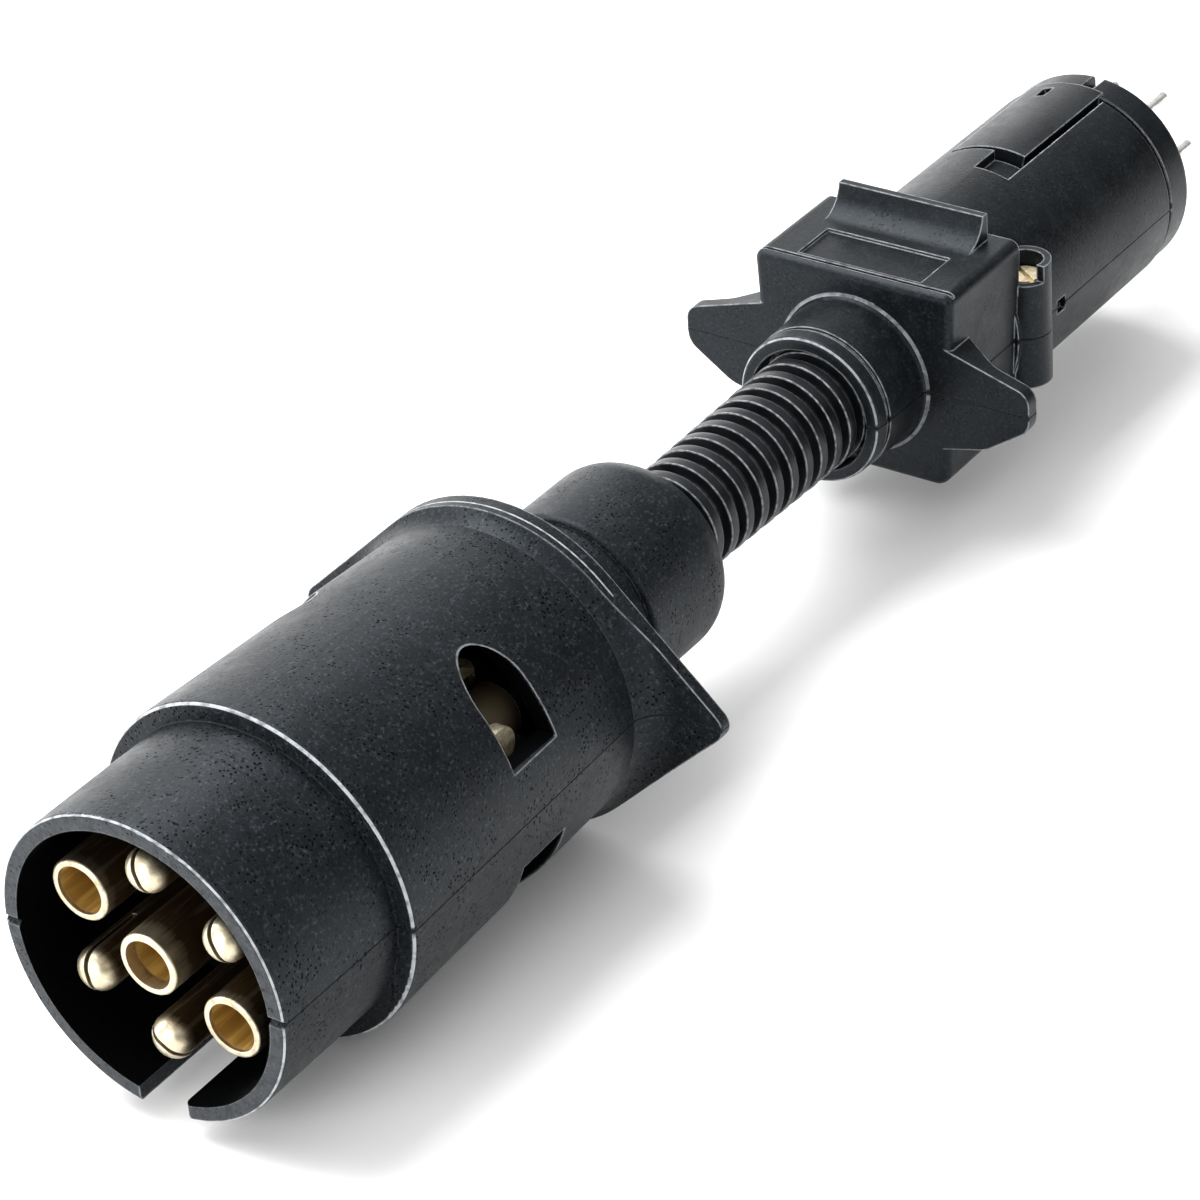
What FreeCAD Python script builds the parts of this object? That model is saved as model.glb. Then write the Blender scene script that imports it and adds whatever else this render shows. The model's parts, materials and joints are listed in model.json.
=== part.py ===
import FreeCAD, Part
import math
import os

# Trailer wiring adaptor: a large round seven-way plug joined to a small round
# seven-way plug by a short ribbed conduit. Millimetres.
# X runs along the object from the large plug's mating face (x = 0) to the small
# plug's thin pins. Z is up. Both housings are split into halves on the plane z = 0.
# Angles are measured around X from +Y towards +Z, so 90 degrees is the top.

# ---- large plug: shroud, barrel and winged flange ----
SHROUD_R = 21.5
SHROUD_ROOT_R = 21.45
SHROUD_WALL = 2.3
SHROUD_LEN = 22.0
SHROUD_LIP_ROUND = 0.5
KEYWAY_W = 7.0
KEYWAY_LEN = 16.0
KEYWAY_CORNER_R = 1.2
SEAM_NOTCH = 0.7
BARREL_R = 24.0
BARREL_EDGE_R = 0.6
BARREL_REAR_R = 22.0
BARREL_WALL = 2.8
FLANGE_X = 75.0
FLANGE_T = 1.8
FLANGE_R = 23.6
WING_SPAN = 66.4
WING_TIP_R = 2.4
WING_ROOT_FILLET = 4.5
NECK_R = 13.5
NECK_BORE_R = 10.0
NECK_END = 99.0
SPLIT_GAP = 0.1

# ---- large plug: contacts ----
CARRIER_X = 21.3
CARRIER_LEN = 14.7
CARRIER_SEAT_R = 20.6
PITCH_R = 12.4
SOCKET_R = 4.3
SOCKET_BORE_R = 3.4
SOCKET_DEPTH = 18.0
PIN_R = 2.95
PIN_SHOULDER_R = 3.55
PIN_DOME = 0.8
PIN_SLOT_W = 0.75
PIN_SLOT_DEPTH = 10.0
CENTRE_TIP_X = 1.2
SOCKET_TIP_X = 2.6
PIN_TIP_X = 1.6
COLLAR_R = 5.2
COLLAR_LEN = 1.6
TERMINAL_R = 4.0
TERMINAL_END = 58.0
CENTRE_TERMINAL_END = 70.0
SCREW_FROM_END = 6.75
SCREW_R = 1.6
SCREW_HEAD_R = 2.9
SCREW_HEAD_H = 1.7
DRIVE_SLOT_W = 0.7
TERMINAL_SLOT_ANGLE = 25
WIRE_HOLE_DEPTH = 6.0
SOCKET_ANGLES = [30, 210]
PIN_ANGLES = [90, 150, 270, 330]
PIN_SLOT_ANGLES = [70, 65, 30, 80]
CONTACT_CLEARANCE = 0.02

# ---- screw-access windows in the barrel ----
WINDOW_X = 51.25
WINDOW_W = 9.5
WINDOW_LOW_Z = 7.0
WINDOW_HIGH_Z = 19.6

# ---- gland cap behind the flange ----
CAP_X = 88.5
CAP_LEN = 20.3
CAP_R = 14.4
CAP_DOME = 6.0

# ---- ribbed conduit ----
RIB_START = 107.8
RIB_PITCH = 3.7
RIB_COUNT = 12
RIB_W = 2.3
RIB_DEPTH = 1.6
CONDUIT_R_FRONT = 8.0
CONDUIT_R_REAR = 8.85
CONDUIT_BORE_R = 5.2
COLLAR_T = 3.6
SECTION_GAP = 0.2
BEND_RIBS = [3, 5, 7, 9]

# ---- wires ----
WIRE_R = 1.0
BUNDLE_R = 2.6
WIRE_BEND_R = 18.0
WIRE_ANGLES = [30, 90, 150, 210, 270, 330]

# ---- small plug: grip housing ----
LIP_X = 148.5
SNOUT_R = 11.5
SNOUT_REAR_R = 11.9
SNOUT_ROOT_FILLET = 1.0
SNOUT_BORE_R = 9.6
SNOUT_GROOVE_X = 151.1
SNOUT_GROOVE_W = 0.8
SNOUT_GROOVE_DEPTH = 0.4
BLOCK_X = 161.0
BLOCK_END = 180.5
BLOCK_TOP_HALF_W = 16.5
BLOCK_LOW_HALF_W = 15.2
BLOCK_TOP = 16.0
BLOCK_BOTTOM = -15.5
BLOCK_TOP_CORNER_R = 1.5
BLOCK_LOW_CORNER_R = 2.5
BLOCK_FRONT_ROUND = 1.2
BLOCK_GROOVE_X = 162.2
BLOCK_GROOVE_W = 0.6
BLOCK_GROOVE_DEPTH = 0.6
WING_ROOT_Y = 14.0
WING_TIP_Y = 28.8
WING_PLATE_T = 2.2
WING_ROOT_T = 6.0
PANEL_X = 163.4
PANEL_LEN = 8.1
PANEL_HALF_W = 10.2
PANEL_DEPTH = 0.5
FIN_X = 172.8
FIN_WALL_X = 177.8
FIN_TOP = 20.2
FIN_T = 1.2
FIN_HALF_W = 12.1
BOSS_X = 184.0
BOSS_Y = 15.2
BOSS_R = 3.9
BOSS_TOP = 11.3
BOSS_MOUTH_Z = 8.7
BOSS_BOTTOM = -8.2
BOSS_SEAT_Z = 7.0
BOSS_BORE_R = 2.75
BOSS_PILOT_Z = -6.6
BOSS_SCREW_R = 1.5
BOSS_SCREW_LEN = 13.0
BOSS_HEAD_R = 2.4
BOSS_HEAD_H = 1.8
BOSS_SLOT_ANGLE = 35

# ---- small plug: barrel, insert and thin pins ----
CYL_R = 16.6
CYL_END = 226.0
CYL_WALL = 2.4
CATCH_X = 191.0
CATCH_LEN = 2.4
CATCH_HALF_H = 1.1
CATCH_DEPTH = 1.0
CAVITY_R = 12.6
INSERT_X = 204.0
INSERT_R = 14.15
RIM_X = 227.0
RIM_END = 233.0
RIM_R = 16.3
RIM_RECESS = 2.0
RIM_WALL = 2.6
KEY_FROM = 60
KEY_TO = 104
THIN_PIN_R = 0.9
THIN_STEM_R = 1.3
THIN_PITCH_R = 8.5
THIN_TIP_X = 247.0
SLEEVE_R = 2.0
SLEEVE_X = 196.0
THIN_ANGLES = [0, 60, 120, 180, 240, 300]

V = FreeCAD.Vector
AXIS = V(1, 0, 0)
ORIGIN = V(0, 0, 0)


def polar(x, r, angle):
    """Point at distance r from the X axis, at an angle in degrees from +Y."""
    a = math.radians(angle)
    return V(x, r * math.cos(a), r * math.sin(a))


def rod(x0, x1, r, centre=ORIGIN):
    """Solid cylinder along X."""
    return Part.makeCylinder(r, x1 - x0, V(x0, centre.y, centre.z), AXIS)


def box(x0, x1, y0, y1, z0, z1):
    return Part.makeBox(x1 - x0, y1 - y0, z1 - z0, V(x0, y0, z0))


def rounded_face(corners):
    """Flat face inside a closed outline of (point, corner radius) pairs."""
    edges = []
    starts = []
    ends = []
    count = len(corners)
    for i in range(count):
        p, r = corners[i]
        to_prev = corners[i - 1][0].sub(p)
        to_next = corners[(i + 1) % count][0].sub(p)
        if r <= 0:
            starts.append(p)
            ends.append(p)
            edges.append(None)
            continue
        to_prev.normalize()
        to_next.normalize()
        half = to_prev.getAngle(to_next) / 2
        reach = r / math.tan(half)
        start = p.add(to_prev * reach)
        end = p.add(to_next * reach)
        inward = to_prev.add(to_next).normalize()
        centre = p.add(inward * (r / math.sin(half)))
        starts.append(start)
        ends.append(end)
        edges.append(Part.Arc(start, centre.sub(inward * r), end).toShape())
    outline = []
    for i in range(count):
        if edges[i] is not None:
            outline.append(edges[i])
        nxt = (i + 1) % count
        if ends[i].sub(starts[nxt]).Length > 1e-6:
            outline.append(Part.makeLine(ends[i], starts[nxt]))
    return Part.Face(Part.Wire(outline))


def turned(profile):
    """Solid of revolution about X from (x, r, corner radius) triples."""
    face = rounded_face([(V(x, 0, r), c) for x, r, c in profile])
    return face.revolve(ORIGIN, AXIS, 360)


def sector(x0, x1, r0, r1, a0, a1):
    """Part of a ring around X between two angles."""
    corners = [polar(x0, r0, a0), polar(x1, r0, a0), polar(x1, r1, a0), polar(x0, r1, a0)]
    face = Part.Face(Part.makePolygon(corners + corners[:1]))
    return face.revolve(ORIGIN, AXIS, a1 - a0)


def fused(shapes):
    return shapes[0].multiFuse(shapes[1:]).removeSplitter()


def halves(shape):
    """Cut a housing into its upper and lower halves on z = 0."""
    size = 400
    keep_up = box(-size, size, -size, size, SPLIT_GAP / 2, size)
    keep_down = box(-size, size, -size, size, -size, -SPLIT_GAP / 2)
    return shape.common(keep_up), shape.common(keep_down)


def mirrored_y(shape):
    return shape.mirror(ORIGIN, V(0, 1, 0))


def mirrored_z(shape):
    return shape.mirror(ORIGIN, V(0, 0, 1))


# ---------------------------------------------------------------- large plug
def winged_outline(x0, x1):
    """Disc drawn out to a rounded point on each side, as a plate along X."""
    reach = WING_SPAN / 2 - WING_TIP_R
    lean = math.acos((FLANGE_R - WING_TIP_R) / reach)
    c, s = math.cos(lean), math.sin(lean)
    plates = [rod(x0, x1, FLANGE_R)]
    for side in (1, -1):
        tip = V(0, side * reach, 0)
        wedge = [V(x0, 0, 0),
                 V(x0, side * FLANGE_R * c, FLANGE_R * s),
                 V(x0, side * (reach + WING_TIP_R * c), WING_TIP_R * s),
                 V(x0, side * (reach + WING_TIP_R * c), -WING_TIP_R * s),
                 V(x0, side * FLANGE_R * c, -FLANGE_R * s)]
        face = Part.Face(Part.makePolygon(wedge + wedge[:1]))
        plates.append(face.extrude(V(x1 - x0, 0, 0)))
        plates.append(rod(x0, x1, WING_TIP_R, tip))
    return fused(plates)


def flange():
    """Winged plate whose front blends into the barrel with a hollow fillet."""
    front = FLANGE_X - WING_ROOT_FILLET
    rear = FLANGE_X + FLANGE_T
    root = BARREL_REAR_R
    bend = WING_ROOT_FILLET * (1 - math.sqrt(0.5))
    outer = WING_SPAN
    arc = Part.Arc(V(front, 0, root), V(FLANGE_X - bend, 0, root + bend),
                   V(FLANGE_X, 0, root + WING_ROOT_FILLET)).toShape()
    path = [V(FLANGE_X, 0, root + WING_ROOT_FILLET), V(FLANGE_X, 0, outer), V(rear, 0, outer),
            V(rear, 0, 0), V(front, 0, 0), V(front, 0, root)]
    lines = [Part.makeLine(a, b) for a, b in zip(path, path[1:])]
    solid = Part.Face(Part.Wire([arc] + lines)).revolve(ORIGIN, AXIS, 360)
    return solid.common(winged_outline(front - 1, rear))


def access_window():
    """Round-topped opening through the upper side wall, cut along Y."""
    half = WINDOW_W / 2
    spring = WINDOW_HIGH_Z - half
    low = [V(WINDOW_X - half, 0, WINDOW_LOW_Z), V(WINDOW_X + half, 0, WINDOW_LOW_Z)]
    high = [V(WINDOW_X + half, 0, spring), V(WINDOW_X - half, 0, spring)]
    arch = Part.Arc(high[0], V(WINDOW_X, 0, WINDOW_HIGH_Z), high[1]).toShape()
    sides = [Part.makeLine(high[1], low[0]), Part.makeLine(*low), Part.makeLine(low[1], high[0])]
    face = Part.Face(Part.Wire([arch] + sides))
    return face.extrude(V(0, BARREL_R + 5, 0))


def keyway():
    """Slot through the bottom of the shroud, with one front corner rounded off."""
    half = KEYWAY_W / 2
    low = -SHROUD_R - 1
    past = -half - KEYWAY_CORNER_R - 0.5
    corners = [(V(-1, half, low), 0), (V(KEYWAY_LEN, half, low), 0), (V(KEYWAY_LEN, -half, low), 0),
               (V(0, -half, low), KEYWAY_CORNER_R), (V(0, past, low), 0), (V(-1, past, low), 0)]
    return rounded_face(corners).extrude(V(0, 0, SHROUD_WALL + 3))


def seam_notch():
    """Small V across the shroud rim where the two halves meet."""
    reach = BARREL_R + 5
    corners = [V(-0.1, -reach, SEAM_NOTCH), V(SEAM_NOTCH, -reach, 0), V(-0.1, -reach, -SEAM_NOTCH)]
    return Part.Face(Part.makePolygon(corners + corners[:1])).extrude(V(0, 2 * reach, 0))


def plug_shell():
    """Both halves in one: shroud, barrel, winged flange and neck, hollow throughout."""
    outer = turned([(0, 0, 0), (0, SHROUD_R, SHROUD_LIP_ROUND), (KEYWAY_LEN, SHROUD_R, 0),
                    (KEYWAY_LEN, SHROUD_ROOT_R, 0), (SHROUD_LEN, SHROUD_ROOT_R, 0),
                    (SHROUD_LEN, BARREL_R, BARREL_EDGE_R), (FLANGE_X, BARREL_REAR_R, 0),
                    (FLANGE_X, 0, 0)])
    neck = turned([(FLANGE_X, 0, 0), (FLANGE_X, NECK_R, 0), (NECK_END, NECK_R, 0.6),
                   (NECK_END, 0, 0)])
    cup_r = SHROUD_R - SHROUD_WALL
    rear_r = BARREL_REAR_R - BARREL_WALL
    cavity = turned([(-1, 0, 0), (-1, cup_r, 0), (SHROUD_LEN - 1, cup_r, 0),
                     (SHROUD_LEN - 1, CARRIER_SEAT_R, 0),
                     (CARRIER_X + CARRIER_LEN + 2, CARRIER_SEAT_R, 0),
                     (FLANGE_X - 3, rear_r, 2.0), (FLANGE_X - 1, NECK_BORE_R, 0),
                     (NECK_END + 1, NECK_BORE_R, 0), (NECK_END + 1, 0, 0)])
    window = access_window()
    low_window = mirrored_z(window)
    openings = [window, mirrored_y(window), low_window, mirrored_y(low_window), keyway(),
                seam_notch()]
    return fused([outer, flange(), neck]).cut(cavity).cut(fused(openings))


def contact_places():
    """(centre, tip x, terminal end x, slot angle) of the contacts; sockets have no slot."""
    places = [(ORIGIN, CENTRE_TIP_X, CENTRE_TERMINAL_END, None)]
    for angle in SOCKET_ANGLES:
        places.append((polar(0, PITCH_R, angle), SOCKET_TIP_X, TERMINAL_END, None))
    for angle, slot_angle in zip(PIN_ANGLES, PIN_SLOT_ANGLES):
        places.append((polar(0, PITCH_R, angle), PIN_TIP_X, TERMINAL_END, slot_angle))
    return places


def contact_carrier():
    """Round insulating block that holds the seven contacts."""
    rear = CARRIER_X + CARRIER_LEN
    r = CARRIER_SEAT_R - 0.05
    body = turned([(CARRIER_X, 0, 0), (CARRIER_X, r, 0.4), (rear, r, 0.4), (rear, 0, 0)])
    for centre, _, _, slot_angle in contact_places():
        shank = SOCKET_R if slot_angle is None else PIN_SHOULDER_R
        body = body.cut(rod(CARRIER_X - 1, rear + 1, shank + CONTACT_CLEARANCE, centre))
    return body


def screw_side(centre):
    """Terminal screws face the windows to the left and right; the middle one faces up."""
    if centre.Length < 1e-6:
        return V(0, 0, 1)
    if abs(centre.y) < 1e-6:
        return V(0, -math.copysign(1, centre.z), 0)
    return V(0, math.copysign(1, centre.y), 0)


def terminal(centre, end, shank):
    """Rear part of a contact: a locating collar and a bored terminal post."""
    rear = CARRIER_X + CARRIER_LEN
    collar = rod(rear, rear + COLLAR_LEN, COLLAR_R, centre)
    post = rod(rear, end, TERMINAL_R, centre)
    wire_hole = rod(end - WIRE_HOLE_DEPTH, end + 1, WIRE_R + CONTACT_CLEARANCE, centre)
    screw_at = V(end - SCREW_FROM_END, centre.y, centre.z)
    screw_hole = Part.makeCylinder(SCREW_R, 2 * TERMINAL_R, screw_at, screw_side(centre))
    return fused([shank, collar, post]).cut(wire_hole).cut(screw_hole)


def socket_contact(centre, tip, end):
    """Contact tube that takes a round pin."""
    rear = CARRIER_X + CARRIER_LEN
    profile = turned([(tip, 0, 0), (tip, SOCKET_R, 0.35), (rear, SOCKET_R, 0), (rear, 0, 0)])
    profile.translate(centre)
    bore = rod(tip - 1, tip + SOCKET_DEPTH, SOCKET_BORE_R, centre)
    return terminal(centre, end, profile).cut(bore)


def split_pin(centre, tip, end, slot_angle):
    """Domed pin split by a slot, with a thicker shoulder inside the carrier."""
    rear = CARRIER_X + CARRIER_LEN
    profile = turned([(tip, 0, 0), (tip, PIN_R, PIN_R * PIN_DOME), (CARRIER_X, PIN_R, 0),
                      (CARRIER_X, PIN_SHOULDER_R, 0), (rear, PIN_SHOULDER_R, 0), (rear, 0, 0)])
    half = PIN_SLOT_W / 2
    slot = box(tip - 1, tip + PIN_SLOT_DEPTH, -PIN_R - 1, PIN_R + 1, -half, half)
    slot.rotate(ORIGIN, AXIS, slot_angle)
    pin = profile.cut(slot)
    pin.translate(centre)
    return terminal(centre, end, pin)


def slotted_screw(base, direction, shank_len, shank_r, head_r, head_h, slot_angle):
    """Cheese-head screw: base is under the head, direction points out of the head."""
    shank = Part.makeCylinder(shank_r, shank_len, base.sub(direction * shank_len), direction)
    head = Part.makeCylinder(head_r, head_h, base, direction)
    half = DRIVE_SLOT_W / 2
    slot = box(-half, half, -head_r - 1, head_r + 1, 0, head_h)
    upright = FreeCAD.Rotation(V(0, 0, 1), direction)
    turned_slot = upright.multiply(FreeCAD.Rotation(V(0, 0, 1), slot_angle))
    slot.Placement = FreeCAD.Placement(base.add(direction * (head_h * 0.5)), turned_slot)
    return shank.fuse(head).cut(slot)


def terminal_screws():
    """One screw in the side of every terminal post."""
    screws = []
    length = TERMINAL_R - WIRE_R - 0.1
    for centre, _, end, _ in contact_places():
        direction = screw_side(centre)
        under_head = V(end - SCREW_FROM_END, centre.y, centre.z)
        under_head = under_head.add(direction * (TERMINAL_R + 0.05))
        screws.append(slotted_screw(under_head, direction, length, SCREW_R - 0.01,
                                    SCREW_HEAD_R, SCREW_HEAD_H, TERMINAL_SLOT_ANGLE))
    return Part.makeCompound(screws)


def gland_cap():
    """Domed cap screwed over the neck; it traps the front collar of the conduit."""
    end = CAP_X + CAP_LEN
    body = turned([(CAP_X, 0, 0), (CAP_X, CAP_R, 0.8), (end, CAP_R, CAP_DOME), (end, 0, 0)])
    thread = rod(CAP_X - 1, NECK_END, NECK_R + 0.05)
    collar_room = rod(NECK_END - 0.01, NECK_END + COLLAR_T + 0.2, NECK_R - 0.6)
    mouth = rod(NECK_END, end + 1, CONDUIT_R_FRONT + 0.3)
    return body.cut(fused([thread, collar_room, mouth]))


# ---------------------------------------------------------------- conduit
def conduit_r(x):
    """Crest radius of the ribs; the conduit widens towards the small plug."""
    share = (x - RIB_START) / (RIB_PITCH * RIB_COUNT)
    return CONDUIT_R_FRONT + share * (CONDUIT_R_REAR - CONDUIT_R_FRONT)


def rib(index):
    x0 = RIB_START + RIB_PITCH * index + (RIB_PITCH - RIB_W) / 2
    r = conduit_r(x0 + RIB_W / 2)
    return turned([(x0, CONDUIT_BORE_R + 0.4, 0), (x0, r, 0.7), (x0 + RIB_W, r, 0.7),
                   (x0 + RIB_W, CONDUIT_BORE_R + 0.4, 0)])


def conduit():
    """Whole conduit with a collar at each end; cut into sections afterwards."""
    rib_end = RIB_START + RIB_PITCH * RIB_COUNT
    front = NECK_END + 0.1
    rear = rib_end + COLLAR_T + 0.4
    root_front = CONDUIT_R_FRONT - RIB_DEPTH
    root_rear = CONDUIT_R_REAR - RIB_DEPTH
    tube = turned([(front, 0, 0), (front, root_front, 0), (RIB_START, root_front, 0),
                   (rib_end, root_rear, 0), (rear, root_rear, 0), (rear, 0, 0)])
    sleeve = rod(front, RIB_START + 0.5, CONDUIT_R_FRONT)
    front_collar = rod(front, front + COLLAR_T, NECK_R - 0.8)
    rear_collar = rod(rear - COLLAR_T, rear, SNOUT_BORE_R + 0.6)
    ribs = [rib(i) for i in range(RIB_COUNT)]
    bore = rod(front - 1, rear + 1, CONDUIT_BORE_R)
    return fused([tube, sleeve, front_collar, rear_collar] + ribs).cut(bore)


def bend_planes():
    return [RIB_START + RIB_PITCH * n for n in BEND_RIBS]


def conduit_sections():
    whole = conduit()
    limits = [NECK_END - 5] + bend_planes() + [BLOCK_X + 5]
    gap = SECTION_GAP / 2
    sections = []
    for x0, x1 in zip(limits, limits[1:]):
        sections.append(whole.common(box(x0 + gap, x1 - gap, -30, 30, -30, 30)))
    return sections


# ---------------------------------------------------------------- wires
def s_wire(start, shift, x_bend, x_end):
    """Round wire along X that steps sideways by shift through two arcs."""
    step = shift.Length
    half = math.sqrt(WIRE_BEND_R * step - step * step / 4)
    lean = math.asin(half / WIRE_BEND_R)
    side = V(shift).normalize()

    def at(x, offset):
        return start.add(V(x - start.x, 0, 0)).add(side * offset)

    def arc_point(share):
        a = lean * share
        return WIRE_BEND_R * math.sin(a), WIRE_BEND_R * (1 - math.cos(a))

    mid_x = x_bend + half
    far_x = x_bend + 2 * half
    half_in, half_out = arc_point(0.5)
    first = Part.Arc(at(x_bend, 0), at(x_bend + half_in, half_out), at(mid_x, step / 2))
    second = Part.Arc(at(mid_x, step / 2), at(far_x - half_in, step - half_out), at(far_x, step))
    path = Part.Wire([Part.makeLine(start, at(x_bend, 0)), first.toShape(), second.toShape(),
                      Part.makeLine(at(far_x, step), at(x_end, step))])
    ring = Part.Wire([Part.makeCircle(WIRE_R, start, AXIS)])
    return path.makePipeShell([ring], True, True)


def front_wires():
    """From the large plug's terminals into the first conduit section."""
    end = bend_planes()[0] - SECTION_GAP / 2
    wires = [rod(CENTRE_TERMINAL_END - 5, end, WIRE_R)]
    for angle in WIRE_ANGLES:
        start = polar(TERMINAL_END - 5, PITCH_R, angle)
        shift = polar(0, BUNDLE_R - PITCH_R, angle)
        wires.append(s_wire(start, shift, TERMINAL_END + 5, end))
    return Part.makeCompound(wires)


def straight_wires(x0, x1):
    wires = [rod(x0, x1, WIRE_R)]
    for angle in WIRE_ANGLES:
        wires.append(rod(x0, x1, WIRE_R, polar(0, BUNDLE_R, angle)))
    return Part.makeCompound(wires)


def rear_wires():
    """From the last conduit section to the thin pins' sleeves."""
    start_x = bend_planes()[-1] + SECTION_GAP / 2
    end = SLEEVE_X + 5
    wires = [rod(start_x, end, WIRE_R)]
    for angle, pin_angle in zip(WIRE_ANGLES, THIN_ANGLES):
        start = polar(start_x, BUNDLE_R, angle)
        shift = polar(0, THIN_PITCH_R, pin_angle).sub(polar(0, BUNDLE_R, angle))
        wires.append(s_wire(start, shift, BLOCK_X + 2, end))
    return Part.makeCompound(wires)


# ---------------------------------------------------------------- small plug
def grip_block():
    """Square grip, a little narrower below, with soft long edges and a round front edge."""
    corners = [(V(BLOCK_X, BLOCK_TOP_HALF_W, BLOCK_TOP), BLOCK_TOP_CORNER_R),
               (V(BLOCK_X, -BLOCK_TOP_HALF_W, BLOCK_TOP), BLOCK_TOP_CORNER_R),
               (V(BLOCK_X, -BLOCK_LOW_HALF_W, BLOCK_BOTTOM), BLOCK_LOW_CORNER_R),
               (V(BLOCK_X, BLOCK_LOW_HALF_W, BLOCK_BOTTOM), BLOCK_LOW_CORNER_R)]
    block = rounded_face(corners).extrude(V(BLOCK_END - BLOCK_X, 0, 0))
    front_edges = [edge for edge in block.Edges if edge.BoundBox.XMax < BLOCK_X + 0.01]
    groove = box(BLOCK_GROOVE_X, BLOCK_GROOVE_X + BLOCK_GROOVE_W, -BLOCK_TOP_HALF_W,
                 BLOCK_TOP_HALF_W, BLOCK_TOP - BLOCK_GROOVE_DEPTH, BLOCK_TOP + 1)
    return block.makeFillet(BLOCK_FRONT_ROUND, front_edges).cut(groove)


def finger_wing():
    """Thin blunt ear on the +Y side, flush with the block's front, gusseted at its root."""
    x = BLOCK_X
    root = WING_ROOT_Y
    tip = WING_TIP_Y
    front_view = [(V(x, root, 7.9), 0), (V(x, 17.5, 6.9), 3), (V(x, tip, 3.5), 2.5),
                  (V(x, tip, -2.2), 3), (V(x, 21.5, -7.2), 6), (V(x, root, -9.0), 0)]
    bar = rounded_face(front_view).extrude(V(WING_ROOT_T + 1, 0, 0))
    low = -20
    top_view = [(V(x, root - 1, low), 0), (V(x, tip + 1, low), 0),
                (V(x + WING_PLATE_T, tip + 1, low), 0), (V(x + WING_PLATE_T, 22, low), 5),
                (V(x + WING_ROOT_T, root + 1, low), 0), (V(x + WING_ROOT_T, root - 1, low), 0)]
    return bar.common(rounded_face(top_view).extrude(V(0, 0, -2 * low)))


def thumb_fin():
    """Upright fin across the top, with a hollow front."""
    y0 = -FIN_HALF_W
    rise = FIN_TOP - BLOCK_TOP
    run = FIN_WALL_X - FIN_X
    foot = BLOCK_TOP - 2
    rear = FIN_WALL_X + FIN_T
    arc = Part.Arc(V(FIN_X, y0, BLOCK_TOP), V(FIN_X + run * 0.68, y0, BLOCK_TOP + rise * 0.27),
                   V(FIN_WALL_X, y0, FIN_TOP)).toShape()
    path = [V(FIN_WALL_X, y0, FIN_TOP), V(rear, y0, FIN_TOP), V(rear, y0, foot),
            V(FIN_X, y0, foot), V(FIN_X, y0, BLOCK_TOP)]
    lines = [Part.makeLine(a, b) for a, b in zip(path, path[1:])]
    return Part.Face(Part.Wire([arc] + lines)).extrude(V(0, 2 * FIN_HALF_W, 0))


def screw_boss():
    """Round post beside the barrel; the rear of its mouth stands up as a C-shaped wall."""
    height = BOSS_TOP - BOSS_BOTTOM
    post = Part.makeCylinder(BOSS_R, height, V(BOSS_X, BOSS_Y, BOSS_BOTTOM))
    front = box(BOSS_X - BOSS_R - 1, BOSS_X - 1, BOSS_Y - BOSS_R, BOSS_Y + BOSS_R + 1,
                BOSS_MOUTH_Z, BOSS_TOP + 1)
    web = box(BLOCK_END - 2, BOSS_X, 12, BOSS_Y, BOSS_BOTTOM, BOSS_MOUTH_Z)
    return post.cut(front).fuse(web)


def boss_holes():
    """Counterbore and clearance above the split, pilot hole below it."""
    head = Part.makeCylinder(BOSS_BORE_R, 10, V(BOSS_X, BOSS_Y, BOSS_SEAT_Z))
    clear = Part.makeCylinder(BOSS_SCREW_R + 0.2, BOSS_SEAT_Z + 1, V(BOSS_X, BOSS_Y, 0))
    pilot = Part.makeCylinder(BOSS_SCREW_R + 0.01, -BOSS_PILOT_Z, V(BOSS_X, BOSS_Y, BOSS_PILOT_Z))
    return fused([head, clear, pilot])


def snout():
    """Round nose over the conduit's end: a grooved lip, then a fillet into the block."""
    flare_r = SNOUT_REAR_R + SNOUT_ROOT_FILLET + 0.1
    body = turned([(LIP_X, 0, 0), (LIP_X, SNOUT_R, 0.8), (BLOCK_X, SNOUT_REAR_R, SNOUT_ROOT_FILLET),
                   (BLOCK_X, flare_r, 0), (BLOCK_X + 2, flare_r, 0), (BLOCK_X + 2, 0, 0)])
    groove_end = SNOUT_GROOVE_X + SNOUT_GROOVE_W
    groove = turned([(SNOUT_GROOVE_X, SNOUT_R - SNOUT_GROOVE_DEPTH, 0),
                     (SNOUT_GROOVE_X, SNOUT_R + 1, 0), (groove_end, SNOUT_R + 1, 0),
                     (groove_end, SNOUT_R - SNOUT_GROOVE_DEPTH, 0)])
    return body.cut(groove)


def housing_hollow():
    """Room for the conduit's rear collar, the wires and the pin insert."""
    collar_x0 = RIB_START + RIB_PITCH * RIB_COUNT + 0.3
    collar_x1 = collar_x0 + COLLAR_T + 0.2
    return fused([rod(LIP_X - 1, collar_x0 + 0.5, SNOUT_BORE_R),
                  rod(collar_x0, collar_x1, SNOUT_BORE_R + 0.65),
                  rod(collar_x1 - 0.5, BLOCK_X + 3, SNOUT_BORE_R - 1.6),
                  rod(BLOCK_X + 2.5, INSERT_X - 0.05, CAVITY_R),
                  rod(INSERT_X - 1, CYL_END + 1, CYL_R - CYL_WALL)])


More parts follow.
